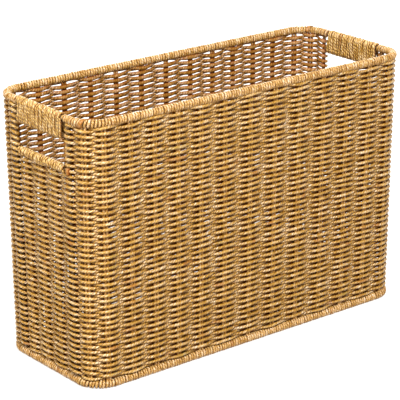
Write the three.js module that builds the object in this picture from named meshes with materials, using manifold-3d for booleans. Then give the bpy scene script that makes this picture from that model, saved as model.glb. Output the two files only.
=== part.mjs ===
// Magazine basket: a steel wire frame, upright stakes of paired cord, a woven wall and base,
// cord wound round the rim, the foot, the two grips and the two sills below the hand openings.
// Millimetres, +Z up, X along the basket, front face towards -Y, origin on the floor at the middle.

import * as THREE from 'three';
import Module from 'manifold-3d';
import { mergeVertices } from 'three/addons/utils/BufferGeometryUtils.js';

const wasm = await Module();
wasm.setup();

// Driving dimensions of the whole basket, at the centre of the rim wire
const RIM_LENGTH = 400;
const RIM_WIDTH = 150;
const CORNER_RADIUS = 24.4;
const HEIGHT = 272;
const END_DRAW_IN = 2.6;
const SIDE_DRAW_IN = 2.5;
const SEAT_GAP = 0.3;

// Wire and cord thicknesses
const FRAME_WIRE = 4;
const SILL_WIRE = 3;
const STRAND = 2.7;
const WEFT = 2.7;
const RIM_CORD = 2.3;
const FOOT_CORD = 2.6;

// Foot and base
const FOOT_FLAT_DEPTH = 0.5;
const BASE_CLEARANCE = 0.6;

// Openings in the long sides' weave, in level rows between the uprights
const OPENING_ROWS = 8;
const OPENING_HEIGHT = 5.4;
const OPENING_EDGE = 2.7;

// Handles, at the centres of the posts and bars
const POST_REACH = 45;
const GRIP_DROP = 16.8;
const HAND_OPENING_HEIGHT = 24;
const GRIP_SLIT = 1.6;

// Places of the stakes, chosen by hand as the weaver spaced them
const LONG_STAKE_SHARES = [-0.76, -0.62, -0.48, -0.34, -0.19, -0.03, 0.13, 0.29, 0.45, 0.61, 0.765];
const CORNER_STAKE_SHARES = [0.17, 0.65];
const END_STAKE_SHARES = [-0.44, 0.1, 0.64];
const PANEL_JOINT_SHARE = 0.41;

// Facets and turns
const QUARTER_TURN = Math.PI / 2;
const HALF_TURN = Math.PI;
const FULL_TURN = 2 * Math.PI;
const CORNER_STEPS = 6;
const PANEL_CORNER_STEPS = 3;
const WIRE_SIDES = 10;
const WRAP_OUTER_STEPS = 10;
const WRAP_INNER_STEPS = 6;
const WINDING_LOOPS = 24;
const WINDING_SIDES = 5;
const GRIP_BEND_STEPS = 4;
const SILL_BEND_STEPS = 4;
const STAKE_CORNER_SHARE = 0.3;
const MERGE_DISTANCE_SHARE = 0.00001;

// Worked out from the driving dimensions
const WEAVE = STRAND + 2 * WEFT;
const BORE_RADIUS = FRAME_WIRE / 2 + SEAT_GAP;
const RIM_OUTER = BORE_RADIUS + RIM_CORD;
const FOOT_OUTER = BORE_RADIUS + FOOT_CORD;
const GRIP_TURN = windingTurn(FRAME_WIRE, GRIP_BEND_STEPS);
const SILL_TURN = windingTurn(SILL_WIRE, SILL_BEND_STEPS);
const GRIP_OUTER = GRIP_TURN + RIM_CORD / 2;
const SILL_OUTER = SILL_TURN + RIM_CORD / 2;
const RIM_Z = HEIGHT - GRIP_OUTER;
const FOOT_Z = FOOT_OUTER - FOOT_FLAT_DEPTH;
const GRIP_Z = RIM_Z - GRIP_DROP;
const SILL_Z = GRIP_Z - GRIP_OUTER - HAND_OPENING_HEIGHT - SILL_OUTER;
const WALL_TOP = RIM_Z - Math.sqrt(RIM_OUTER ** 2 - BORE_RADIUS ** 2) - SEAT_GAP;
const WALL_FOOT = FOOT_Z + Math.sqrt(FOOT_OUTER ** 2 - BORE_RADIUS ** 2) + SEAT_GAP;
const STAKE_TOP = RIM_Z - FRAME_WIRE / 2 - SEAT_GAP;
const STAKE_FOOT = FOOT_Z + FRAME_WIRE / 2 + SEAT_GAP;
const SILL_SEAT = SILL_Z - SILL_OUTER - SEAT_GAP;
const WEAVE_EDGE = POST_REACH - BORE_RADIUS - WEFT;
const GRIP_REACH = WEAVE_EDGE - GRIP_SLIT;
const SILL_REACH = WEAVE_EDGE - SEAT_GAP;
const BAR_REACH = POST_REACH - BORE_RADIUS;
const RIM_PLAN = { length: RIM_LENGTH, width: RIM_WIDTH, radius: CORNER_RADIUS };
const FOOT_PLAN = {
  length: RIM_LENGTH - 2 * END_DRAW_IN,
  width: RIM_WIDTH - 2 * SIDE_DRAW_IN,
  radius: CORNER_RADIUS * (1 - END_DRAW_IN / RIM_LENGTH - SIDE_DRAW_IN / RIM_WIDTH),
};

const steel = new THREE.MeshStandardMaterial({ color: 0x6b5a44, roughness: 0.5, metalness: 0.8 });
const stakeCord = new THREE.MeshStandardMaterial({ color: 0xb98a45, roughness: 0.6, metalness: 0 });
const wovenCord = new THREE.MeshStandardMaterial({ color: 0xcb9c58, roughness: 0.55, metalness: 0 });
const woundCord = new THREE.MeshStandardMaterial({ color: 0xdcb573, roughness: 0.55, metalness: 0 });

// The radius at which a cord is wound round a wire, so that its straight steps clear the wire
function windingTurn(wire, bendSteps) {
  return (wire / 2 + SEAT_GAP + RIM_CORD / 2) / Math.cos(QUARTER_TURN / bendSteps);
}

// How far the wall has drawn in at height z, as a share of the whole draw-in at the foot
function drawInShare(z) {
  return (RIM_Z - z) / (RIM_Z - FOOT_Z);
}

// A point of the upright basket moved to where the drawn-in wall has it
function drawnIn(x, y, z) {
  const share = drawInShare(z);
  const acrossX = 1 - (2 * END_DRAW_IN * share) / RIM_LENGTH;
  const acrossY = 1 - (2 * SIDE_DRAW_IN * share) / RIM_WIDTH;
  return new THREE.Vector3(x * acrossX, y * acrossY, z);
}

function drawInGeometry(geometry) {
  const places = geometry.getAttribute('position');
  for (let i = 0; i < places.count; i += 1) {
    const moved = drawnIn(places.getX(i), places.getY(i), places.getZ(i));
    places.setXYZ(i, moved.x, moved.y, moved.z);
  }
  return geometry;
}

// A station is a point of the centreline seen from above, with the direction out of the basket
function station(x, y, outX, outY) {
  return { x, y, outX, outY };
}

// share 0 is where the corner leaves the long side, 1 where it meets the end
function cornerStation(plan, towardX, towardY, share) {
  const outX = towardX * Math.sin(share * QUARTER_TURN);
  const outY = towardY * Math.cos(share * QUARTER_TURN);
  return station(
    towardX * (plan.length / 2 - plan.radius) + plan.radius * outX,
    towardY * (plan.width / 2 - plan.radius) + plan.radius * outY,
    outX,
    outY,
  );
}

function cornerRun(plan, towardX, towardY, from, to, steps) {
  const run = [];
  for (let i = 0; i <= steps; i += 1) {
    run.push(cornerStation(plan, towardX, towardY, from + ((to - from) * i) / steps));
  }
  return run;
}

// The whole centreline, anticlockwise seen from above
function wholeRun(plan) {
  return [
    ...cornerRun(plan, -1, -1, 1, 0, CORNER_STEPS),
    ...cornerRun(plan, 1, -1, 0, 1, CORNER_STEPS),
    ...cornerRun(plan, 1, 1, 1, 0, CORNER_STEPS),
    ...cornerRun(plan, -1, 1, 0, 1, CORNER_STEPS),
  ];
}

function geometryOf(points, faces) {
  const geometry = new THREE.BufferGeometry();
  geometry.setAttribute('position', new THREE.Float32BufferAttribute(points.flat(), 3));
  geometry.setIndex(faces.flat());
  geometry.computeVertexNormals();
  return geometry;
}

// Faces between rows of points; the section's points run anticlockwise seen along the rows
function rowFaces(rows, sides, closed) {
  const faces = [];
  const spans = closed ? rows : rows - 1;
  for (let row = 0; row < spans; row += 1) {
    const next = (row + 1) % rows;
    for (let side = 0; side < sides; side += 1) {
      const beside = (side + 1) % sides;
      const a = row * sides + side;
      const b = next * sides + side;
      const c = next * sides + beside;
      const d = row * sides + beside;
      faces.push([a, b, c], [a, c, d]);
    }
  }
  return faces;
}

// A section of [outward, up] points carried along stations
function sweep(stations, section, closed) {
  const points = stations.flatMap((at) =>
    section.map(([out, up]) => [at.x + at.outX * out, at.y + at.outY * out, up]),
  );
  const faces = rowFaces(stations.length, section.length, closed);
  if (!closed) {
    const outline = section.map(([out, up]) => new THREE.Vector2(out, up));
    const last = (stations.length - 1) * section.length;
    for (const [a, b, c] of THREE.ShapeUtils.triangulateShape(outline, [])) {
      faces.push([a, b, c], [last + a, last + c, last + b]);
    }
  }
  return geometryOf(points, faces);
}

function arcPoints(radius, from, to, steps) {
  const points = [];
  for (let i = 0; i <= steps; i += 1) {
    const angle = from + ((to - from) * i) / steps;
    points.push([radius * Math.cos(angle), radius * Math.sin(angle)]);
  }
  return points;
}

function roundSection(radius, sides) {
  return arcPoints(radius, 0, FULL_TURN, sides).slice(0, sides);
}

// The wound rim: a sleeve round the wire, open below where the stakes come up to the wire
function rimSection() {
  const lip = Math.acos(BORE_RADIUS / RIM_OUTER);
  return [
    ...arcPoints(RIM_OUTER, -lip, HALF_TURN + lip, WRAP_OUTER_STEPS),
    ...arcPoints(BORE_RADIUS, HALF_TURN, 0, WRAP_INNER_STEPS),
  ];
}

// The wound foot: open above, and pressed flat below where it stands on the floor
function footSection() {
  const lip = Math.acos(BORE_RADIUS / FOOT_OUTER);
  const flat = Math.asin(FOOT_Z / FOOT_OUTER);
  return [
    ...arcPoints(FOOT_OUTER, HALF_TURN - lip, HALF_TURN + flat, WRAP_OUTER_STEPS / 2),
    ...arcPoints(FOOT_OUTER, FULL_TURN - flat, FULL_TURN + lip, WRAP_OUTER_STEPS / 2),
    ...arcPoints(BORE_RADIUS, FULL_TURN, HALF_TURN, WRAP_INNER_STEPS),
  ];
}

// Two strands side by side: an oblong with its corners taken off, the long way along the wall
function stakeOutline(clearance) {
  const along = STRAND + clearance;
  const through = STRAND / 2 + clearance;
  const corner = STRAND * STAKE_CORNER_SHARE;
  return [
    [along - corner, -through], [along, corner - through],
    [along, through - corner], [along - corner, through],
    [corner - along, through], [-along, through - corner],
    [-along, corner - through], [corner - along, -through],
  ];
}

function postOutline(clearance) {
  return roundSection(FRAME_WIRE / 2 + clearance, WIRE_SIDES);
}

// An outline of [along, outward] points laid at a station
function laidAt(at, outline) {
  return outline.map(([along, out]) => new THREE.Vector2(
    at.x - at.outY * along + at.outX * out,
    at.y + at.outX * along + at.outY * out,
  ));
}

function longStakeStations() {
  return LONG_STAKE_SHARES.map((share) => station((share * RIM_LENGTH) / 2, -RIM_WIDTH / 2, 0, -1));
}

function cornerStakeStations() {
  return [-1, 1].flatMap((toward) =>
    CORNER_STAKE_SHARES.map((share) => cornerStation(RIM_PLAN, toward, -1, share)),
  );
}

function endStakeStations() {
  return END_STAKE_SHARES.map((share) => station(-RIM_LENGTH / 2, share * POST_REACH, -1, 0));
}

function postStations() {
  return [-1, 1].map((toward) => station(-RIM_LENGTH / 2, toward * POST_REACH, -1, 0));
}

// The slab of weave between two corner joints, bored for each stake and post
function wovenPanel(stations, bores) {
  const outer = stations.map((at) => new THREE.Vector2(
    at.x + (at.outX * WEAVE) / 2,
    at.y + (at.outY * WEAVE) / 2,
  ));
  const inner = stations.map((at) => new THREE.Vector2(
    at.x - (at.outX * WEAVE) / 2,
    at.y - (at.outY * WEAVE) / 2,
  ));
  const shape = new THREE.Shape([...outer, ...inner.reverse()]);
  shape.holes = bores.map((bore) => new THREE.Path(bore));
  const slab = new THREE.ExtrudeGeometry(shape, { depth: WALL_TOP - WALL_FOOT, bevelEnabled: false });
  slab.translate(0, 0, WALL_FOOT);
  return slab;
}

// Half of the joint's gap, as a share of the corner's quarter turn at its inner face
function jointGapShare() {
  return SEAT_GAP / 2 / (CORNER_RADIUS - WEAVE / 2) / QUARTER_TURN;
}

// A plain grid in place of the small gaps beside each stake, clear of the bores and the bends
function weaveOpenings() {
  const straight = RIM_LENGTH / 2 - CORNER_RADIUS;
  const bore = STRAND + SEAT_GAP;
  const stakes = longStakeStations().map((at) => at.x);
  const starts = [-straight, ...stakes.map((x) => x + bore)];
  const ends = [...stakes.map((x) => x - bore), straight];
  const pitch = (WALL_TOP - WALL_FOOT) / OPENING_ROWS;
  return starts.flatMap((start, bay) => {
    const width = ends[bay] - start - 2 * OPENING_EDGE;
    const middle = (start + ends[bay]) / 2;
    return Array.from({ length: OPENING_ROWS }, (unused, row) => {
      const opening = new THREE.BoxGeometry(width, 2 * WEAVE, OPENING_HEIGHT);
      return opening.translate(middle, -RIM_WIDTH / 2, WALL_FOOT + pitch * (row + 0.5));
    });
  });
}

function longPanel() {
  const joint = PANEL_JOINT_SHARE - jointGapShare();
  const stations = [
    ...cornerRun(RIM_PLAN, -1, -1, joint, 0, PANEL_CORNER_STEPS),
    ...cornerRun(RIM_PLAN, 1, -1, 0, joint, PANEL_CORNER_STEPS),
  ];
  const [nearStakeShare] = CORNER_STAKE_SHARES;
  const cornerStakes = [-1, 1].map((toward) => cornerStation(RIM_PLAN, toward, -1, nearStakeShare));
  const bores = [...longStakeStations(), ...cornerStakes].map((at) => laidAt(at, stakeOutline(SEAT_GAP)));
  const slab = solidOf(wovenPanel(stations, bores));
  const open = weaveOpenings().reduce((panel, opening) => panel.subtract(solidOf(opening)), slab);
  return drawInGeometry(geometryOfSolid(open));
}

function solidOf(geometry) {
  const bare = geometry.clone();
  bare.deleteAttribute('normal');
  bare.deleteAttribute('uv');
  const merged = mergeVertices(bare, HEIGHT * MERGE_DISTANCE_SHARE);
  return new wasm.Manifold(new wasm.Mesh({
    numProp: 3,
    vertProperties: new Float32Array(merged.getAttribute('position').array),
    triVerts: new Uint32Array(merged.getIndex().array),
  }));
}

function geometryOfSolid(solid) {
  const mesh = solid.getMesh();
  const geometry = new THREE.BufferGeometry();
  geometry.setAttribute('position', new THREE.Float32BufferAttribute(mesh.vertProperties, 3));
  geometry.setIndex(Array.from(mesh.triVerts));
  geometry.computeVertexNormals();
  return geometry;
}

// A channel from post to post through the weave's edges, for a bar of the given wire
function barChannel(wire, z) {
  const radius = wire / 2 + SEAT_GAP;
  const channel = new THREE.CylinderGeometry(radius, radius, 2 * POST_REACH, WIRE_SIDES);
  channel.translate(-RIM_LENGTH / 2, 0, z);
  return channel;
}

// The end's weave: open above the sill between the posts, with channels for the grip bar and sill wire
function endPanel() {
  const joint = PANEL_JOINT_SHARE + jointGapShare();
  const stations = [
    ...cornerRun(RIM_PLAN, -1, 1, joint, 1, PANEL_CORNER_STEPS),
    ...cornerRun(RIM_PLAN, -1, -1, 1, joint, PANEL_CORNER_STEPS),
  ];
  const farStakeShare = CORNER_STAKE_SHARES[CORNER_STAKE_SHARES.length - 1];
  const cornerStakes = [1, -1].map((toward) => cornerStation(RIM_PLAN, -1, toward, farStakeShare));
  const bores = [
    ...[...endStakeStations(), ...cornerStakes].map((at) => laidAt(at, stakeOutline(SEAT_GAP))),
    ...postStations().map((at) => laidAt(at, postOutline(SEAT_GAP))),
  ];
  const notch = new THREE.BoxGeometry(2 * WEAVE, 2 * WEAVE_EDGE, 2 * (HEIGHT - SILL_SEAT));
  notch.translate(-RIM_LENGTH / 2, 0, HEIGHT);
  const open = solidOf(wovenPanel(stations, bores))
    .subtract(solidOf(notch))
    .subtract(solidOf(barChannel(FRAME_WIRE, GRIP_Z)))
    .subtract(solidOf(barChannel(SILL_WIRE, SILL_Z)));
  return drawInGeometry(geometryOfSolid(open));
}

// The base's weave fills the foot from wrap to wrap, clear of the floor
function basePanel() {
  const inset = FOOT_OUTER + SEAT_GAP;
  const edge = wholeRun(FOOT_PLAN).map((at) => new THREE.Vector2(
    at.x - at.outX * inset,
    at.y - at.outY * inset,
  ));
  const slab = new THREE.ExtrudeGeometry(new THREE.Shape(edge), { depth: WEAVE, bevelEnabled: false });
  slab.translate(0, 0, BASE_CLEARANCE);
  return slab;
}

// An upright prism from the foot wire up to height topZ, in its own frame: X along the wall, Y outward
function uprightGeometry(outline, topZ) {
  const shape = new THREE.Shape(outline.map(([along, out]) => new THREE.Vector2(along, out)));
  const foot = drawnIn(RIM_LENGTH / 2, 0, STAKE_FOOT);
  const top = drawnIn(RIM_LENGTH / 2, 0, topZ);
  return new THREE.ExtrudeGeometry(shape, { depth: foot.distanceTo(top), bevelEnabled: false });
}

// An upright stands on the foot wire at its station and leans out with the wall
function placeUpright(mesh, at) {
  const foot = drawnIn(at.x, at.y, STAKE_FOOT);
  const top = drawnIn(at.x, at.y, STAKE_TOP);
  const up = top.clone().sub(foot).normalize();
  const out = new THREE.Vector3(at.outX, at.outY, 0);
  const along = out.clone().cross(up).normalize();
  out.crossVectors(up, along);
  mesh.position.copy(foot);
  mesh.quaternion.setFromRotationMatrix(new THREE.Matrix4().makeBasis(along, out, up));
  return mesh;
}

// One loop of a winding seen along Y: [outward, z] points and their own directions out of the loop
function windingLoop(upperBar, lowerBar, turn, bendSteps) {
  const loop = [];
  for (const [bar, start] of [[upperBar, 0], [lowerBar, HALF_TURN]]) {
    for (let i = 0; i <= bendSteps; i += 1) {
      const angle = start + (HALF_TURN * i) / bendSteps;
      const outX = Math.cos(angle);
      const outZ = Math.sin(angle);
      loop.push({ x: bar.x + turn * outX, z: bar.z + turn * outZ, outX, outZ });
    }
  }
  const oneBar = upperBar === lowerBar;
  return oneBar ? loop.filter((at, index) => index % (bendSteps + 1) < bendSteps) : loop;
}

// A cord wound round one bar or round two, as one unbroken tube along Y between -reach and reach
function winding(name, upperBar, lowerBar, turn, bendSteps, reach) {
  const loop = windingLoop(upperBar, lowerBar, turn, bendSteps);
  const steps = loop.length * WINDING_LOOPS;
  const travel = 2 * reach - RIM_CORD;
  const middles = [];
  const points = [];
  for (let i = 0; i <= steps; i += 1) {
    const at = loop[i % loop.length];
    const y = -travel / 2 + (travel * i) / steps;
    middles.push(new THREE.Vector3(at.x, y, at.z));
    for (const [out, along] of roundSection(RIM_CORD / 2, WINDING_SIDES)) {
      points.push([at.x + at.outX * out, y - along, at.z + at.outZ * out]);
    }
  }
  const faces = rowFaces(steps + 1, WINDING_SIDES, false);
  const last = steps * WINDING_SIDES;
  for (let side = 2; side < WINDING_SIDES; side += 1) {
    faces.push([0, side - 1, side], [last, last + side, last + side - 1]);
  }
  console.log(`${name}: least gap between turns ${leastGap(middles, loop.length).toFixed(2)} mm`);
  return geometryOf(points, faces);
}

// The least gap from the cord to itself, between points that are over half a loop apart
function leastGap(middles, loopSteps) {
  let least = Infinity;
  for (let i = 0; i < middles.length; i += 1) {
    const end = Math.min(middles.length, i + 2 * loopSteps);
    for (let j = i + Math.ceil(loopSteps / 2) + 1; j < end; j += 1) {
      least = Math.min(least, middles[i].distanceTo(middles[j]) - RIM_CORD);
    }
  }
  return least;
}

// The centre of a level bar in the end wall at height z, seen along Y
function barCentre(z) {
  return { x: drawnIn(-RIM_LENGTH / 2, 0, z).x, z };
}

function named(name, geometry, material) {
  const mesh = new THREE.Mesh(geometry, material);
  mesh.name = name;
  return mesh;
}

function barMesh(name, wire, centre) {
  const bar = named(name, new THREE.CylinderGeometry(wire / 2, wire / 2, 2 * BAR_REACH, WIRE_SIDES), steel);
  bar.position.set(centre.x, 0, centre.z);
  return bar;
}

// A ring of wire or its wrap, standing at height z
function ringMesh(name, plan, section, z, material) {
  const ring = named(name, sweep(wholeRun(plan), section, true), material);
  ring.position.z = z;
  return ring;
}

function addUprights(group, prefix, stations, geometry, material) {
  stations.forEach((at, index) => {
    group.add(placeUpright(named(`${prefix}_${index + 1}`, geometry, material), at));
  });
}

const stakeGeometry = uprightGeometry(stakeOutline(0), STAKE_TOP);
const endStakeGeometry = uprightGeometry(stakeOutline(0), SILL_SEAT);
const postGeometry = uprightGeometry(postOutline(0), STAKE_TOP);
const longPanelGeometry = longPanel();
const endPanelGeometry = endPanel();
const rimWrapRun = [
  station(-RIM_LENGTH / 2, -GRIP_REACH - SEAT_GAP, -1, 0),
  ...cornerRun(RIM_PLAN, -1, -1, 1, 0, CORNER_STEPS),
  ...cornerRun(RIM_PLAN, 1, -1, 0, 1, CORNER_STEPS),
  station(RIM_LENGTH / 2, -GRIP_REACH - SEAT_GAP, 1, 0),
];
const rimWrapGeometry = sweep(rimWrapRun, rimSection(), false);
const rimBar = barCentre(RIM_Z);
const gripBar = barCentre(GRIP_Z);
const sillBar = barCentre(SILL_Z);
const gripGeometry = winding('grip winding', rimBar, gripBar, GRIP_TURN, GRIP_BEND_STEPS, GRIP_REACH);
const sillGeometry = winding('sill winding', sillBar, sillBar, SILL_TURN, SILL_BEND_STEPS, SILL_REACH);

// A long side: its weave, its stakes with those of its two corners, and its length of wound rim
function longSide(side) {
  const group = new THREE.Group();
  group.add(named(`${side}_weave`, longPanelGeometry, wovenCord));
  addUprights(group, `${side}_stake`, longStakeStations(), stakeGeometry, stakeCord);
  addUprights(group, `${side}_corner_stake`, cornerStakeStations(), stakeGeometry, stakeCord);
  const wrap = named(`${side}_rim_wrap`, rimWrapGeometry, woundCord);
  wrap.position.z = RIM_Z;
  group.add(wrap);
  return group;
}

// An end: its weave, stakes and posts, and the handle's bar, sill wire and windings
function handleEnd(end) {
  const group = new THREE.Group();
  group.add(named(`${end}_weave`, endPanelGeometry, wovenCord));
  addUprights(group, `${end}_stake`, endStakeStations(), endStakeGeometry, stakeCord);
  addUprights(group, `${end}_post`, postStations(), postGeometry, steel);
  group.add(barMesh(`${end}_grip_bar`, FRAME_WIRE, gripBar));
  group.add(barMesh(`${end}_sill_wire`, SILL_WIRE, sillBar));
  group.add(named(`${end}_grip_winding`, gripGeometry, woundCord));
  group.add(named(`${end}_sill_winding`, sillGeometry, woundCord));
  return group;
}

// The far side and the right end are the near side and the left end turned half round
function turned(group) {
  group.rotation.z = HALF_TURN;
  return group;
}

const frameSection = roundSection(FRAME_WIRE / 2, WIRE_SIDES);
const basket = new THREE.Group();
basket.add(ringMesh('rim_wire', RIM_PLAN, frameSection, RIM_Z, steel));
basket.add(ringMesh('foot_wire', FOOT_PLAN, frameSection, FOOT_Z, steel));
basket.add(ringMesh('foot_wrap', FOOT_PLAN, footSection(), FOOT_Z, woundCord));
basket.add(named('base_weave', basePanel(), wovenCord));
basket.add(longSide('front'));
basket.add(turned(longSide('back')));
basket.add(handleEnd('left'));
basket.add(turned(handleEnd('right')));

export default basket;
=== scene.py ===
"""Magazine basket of twisted paper cord, woven on paired stakes over a steel wire frame.

Lengths are millimetres until a mesh is made, +Z is up and the front faces -Y. The wall is
worked out on its middle line at the rim: run is the way along that line, anticlockwise seen
from above, and outward is the distance from it, out of the basket.
"""
import logging
import math
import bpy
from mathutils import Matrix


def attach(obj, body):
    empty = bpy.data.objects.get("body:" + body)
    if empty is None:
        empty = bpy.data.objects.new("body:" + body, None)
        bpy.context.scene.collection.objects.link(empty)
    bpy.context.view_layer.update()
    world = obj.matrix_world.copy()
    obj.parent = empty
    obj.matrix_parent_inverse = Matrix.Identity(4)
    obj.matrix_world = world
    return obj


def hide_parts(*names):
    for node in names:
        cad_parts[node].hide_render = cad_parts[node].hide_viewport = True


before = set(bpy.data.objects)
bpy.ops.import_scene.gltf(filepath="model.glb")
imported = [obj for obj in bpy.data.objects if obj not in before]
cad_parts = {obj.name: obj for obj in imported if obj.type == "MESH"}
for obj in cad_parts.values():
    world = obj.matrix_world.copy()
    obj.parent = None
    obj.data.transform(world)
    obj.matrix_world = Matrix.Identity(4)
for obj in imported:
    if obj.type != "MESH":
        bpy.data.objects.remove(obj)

import zlib
from dataclasses import dataclass
from enum import Enum

import bpy
import numpy as np
from mathutils import Quaternion, Vector

LOG = logging.getLogger("basket")
Array = np.ndarray
Socket = bpy.types.NodeSocket
Sockets = bpy.types.bpy_prop_collection
Tree = bpy.types.NodeTree
Pair = tuple[float, float]
Triple = tuple[float, float, float]
MM = 0.001
QUARTER = math.pi / 2
TURN = 2 * math.pi
UP = np.array([0.0, 0.0, 1.0])
# Length of cord in which its plies twist once round each other
LAY = 7.0
# What each mesh says at its corners, and the cord's material reads; the last says where shade is
# painted, on the flanks and in the weave's recesses
COURSES = ("tone", "stain", "tight", "deep_in")


class End(Enum):
    """The two short ends of the basket, by the direction of X that they face."""

    LEFT = -1.0
    RIGHT = 1.0


def linear(code: str) -> tuple[float, float, float, float]:
    """Turns a colour from sRGB to linear.

    Args:
        code: The colour as six hex digits after a hash sign.

    Returns:
        Linear red, green and blue, with an alpha of one.
    """
    shares = [int(code[i:i + 2], 16) / 255 for i in (1, 3, 5)]
    red, green, blue = (c / 12.92 if c <= 0.04045 else ((c + 0.055) / 1.055) ** 2.4 for c in shares)
    return red, green, blue, 1.0


def add_node(tree: Tree, kind: str, inputs: dict, **settings: str | bool) -> Sockets:
    """Adds one shader node to a tree.

    Args:
        tree: The node tree.
        kind: The node's type name, without the ShaderNode that all begin with.
        inputs: Values, or sockets to link from, by input name or number.
        settings: The node's own properties.

    Returns:
        The node's outputs.
    """
    made = tree.nodes.new(f"ShaderNode{kind}")
    for name, value in settings.items():
        setattr(made, name, value)
    for name, value in inputs.items():
        if isinstance(value, Socket):
            tree.links.new(value, made.inputs[name])
        else:
            made.inputs[name].default_value = value
    return made.outputs


def camera_rays(tree: Tree) -> Socket:
    """Tells what the camera sees, in gloss and through clear things too.

    Args:
        tree: The node tree.

    Returns:
        A value of 1 for the camera's rays and 0 for others.
    """
    rays = add_node(tree, "LightPath", {})
    seen = rays["Is Camera Ray"]
    for kind in ("Is Glossy Ray", "Is Transmission Ray"):
        seen = add_node(tree, "Math", {0: seen, 1: rays[kind]}, operation="MAXIMUM")["Value"]
    return seen


def fresh_material(name: str) -> tuple[bpy.types.Material, Tree]:
    """Makes a node material without nodes.

    Args:
        name: The material's name.

    Returns:
        The material and its tree.
    """
    material = bpy.data.materials.new(name)
    material.use_nodes = True
    material.node_tree.nodes.clear()
    return material, material.node_tree


@dataclass(frozen=True)
class PaperCord:
    """Twisted paper cord, dyed in the yarn and lightly waxed: a fibrous surface with a soft gloss.

    The dye takes unevenly, so each length of cord wanders between a deep and a pale honey, with
    a few amber and olive stretches. Painted shade darkens the groove between the two plies, each
    cord's flanks and the weave's recesses, and the gloss is turned down where that shade is painted.
    """

    name: str
    deep: str = "#956812"
    honey: str = "#C99C46"
    pale: str = "#F1DBB6"
    # Painted shade: the first is mixed into the groove between the plies, the second is multiplied in
    # on the flanks and in the recesses
    groove_shade: str = "#6A3B0C"
    recess_shade: str = "#9A4404"
    amber: str = "#A56A22"
    olive: str = "#A38A3E"
    # Fibres and tone together go from deep to honey and on to pale between these values
    fibre_contrast: float = 2.3
    honey_from: Pair = (0.45, 0.95)
    pale_from: Pair = (0.9, 1.4)
    # The painted groove shade starts at this cosine of the plies' turn and is darkest at the second
    hollow_from: Pair = (0.4, -1.0)
    roughness: Pair = (0.23, 0.43)
    # Gloss in the open and in the recesses
    gloss: Pair = (0.5, 0.05)
    refraction: float = 1.44
    # Two plies, on a cord that measures about 9 mm round
    plies: int = 2
    ply_depth: float = 0.3
    girth: float = 9.0
    # The paper's fibres are about 0.1 mm wide; they are drawn 1.3 mm wide so that they show
    fibre_width: float = 1.3
    fibre_length: float = 2.8
    fibre_depth: float = 0.12
    grain: float = 0.8

    def material(self) -> bpy.types.Material:
        """Builds the node material, whose pattern follows each cord's own map.

        The map gives the turns of the lay along the cord and the share of a turn round it, and
        the plies are a cosine of their number times the sum of the two.

        Returns:
            The material.
        """
        material, tree = fresh_material(self.name)
        cord_map = add_node(tree, "UVMap", {}, uv_map="Cord")["UV"]
        ways = add_node(tree, "SeparateXYZ", {"Vector": cord_map})
        helix = add_node(tree, "Math", {0: ways["X"], 1: ways["Y"]}, operation="ADD")["Value"]
        laid = add_node(tree, "CombineXYZ", {"X": ways["X"], "Y": helix})["Vector"]
        scale = LAY / self.fibre_length, self.girth / self.fibre_width, 1.0
        stretched = add_node(tree, "Mapping", {"Vector": laid, "Scale": scale})["Vector"]
        fibres = add_node(tree, "TexNoise", {
            "Vector": stretched, "Scale": 1.0, "Detail": 2.0, "Roughness": 0.6})["Fac"]
        around = add_node(tree, "Math", {0: helix, 1: TURN * self.plies}, operation="MULTIPLY")["Value"]
        ply = add_node(tree, "Math", {0: around}, operation="COSINE")["Value"]
        tone, stain, tight, deep_in = (
            add_node(tree, "Attribute", {}, attribute_name=course)["Fac"] for course in COURSES)

        mottled = add_node(tree, "Math", {
            0: fibres, 1: self.fibre_contrast, 2: tone}, operation="MULTIPLY_ADD")["Value"]
        to_honey, to_pale, to_groove_shade = (
            add_node(tree, "MapRange", {"Value": value, "From Min": start, "From Max": end,
                                        "To Max": most}, interpolation_type="SMOOTHSTEP")["Result"]
            for value, (start, end), most in (
                (mottled, self.honey_from, 1.0), (mottled, self.pale_from, 1.0),
                (ply, self.hollow_from, tight)))
        is_amber = add_node(tree, "Math", {0: stain, 1: 0.0}, operation="MAXIMUM")["Value"]
        is_olive = add_node(tree, "Math", {0: stain, 1: -1.0}, operation="MULTIPLY",
                            use_clamp=True)["Value"]
        # The last two steps paint shade: into the plies' groove, and on the flanks and in the recesses
        colour = linear(self.deep)
        for share, code, blend in (
                (to_honey, self.honey, "MIX"), (to_pale, self.pale, "MIX"),
                (is_amber, self.amber, "MIX"), (is_olive, self.olive, "MIX"),
                (to_groove_shade, self.groove_shade, "MIX"),
                (deep_in, self.recess_shade, "MULTIPLY")):
            colour = add_node(tree, "Mix", {"Factor": share, "A": colour, "B": linear(code)},
                              data_type="RGBA", blend_type=blend)["Result"]

        raised = add_node(tree, "Math", {0: ply, 1: tight}, operation="MULTIPLY")["Value"]
        twist = add_node(tree, "Bump", {
            "Height": raised, "Strength": 1.0, "Distance": self.ply_depth * MM})["Normal"]
        normal = add_node(tree, "Bump", {
            "Height": fibres, "Strength": self.grain, "Distance": self.fibre_depth * MM,
            "Normal": twist})["Normal"]
        # The gloss is turned down with the painted shade mask
        roughness, gloss = (
            add_node(tree, "MapRange", {"Value": value, "To Min": start, "To Max": end})["Result"]
            for value, (start, end) in ((fibres, self.roughness), (deep_in, self.gloss)))
        surface = add_node(tree, "BsdfPrincipled", {
            "Base Color": colour, "Roughness": roughness, "IOR": self.refraction, "Normal": normal,
            "Specular IOR Level": gloss})["BSDF"]
        add_node(tree, "OutputMaterial", {"Surface": surface})
        return material


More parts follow.
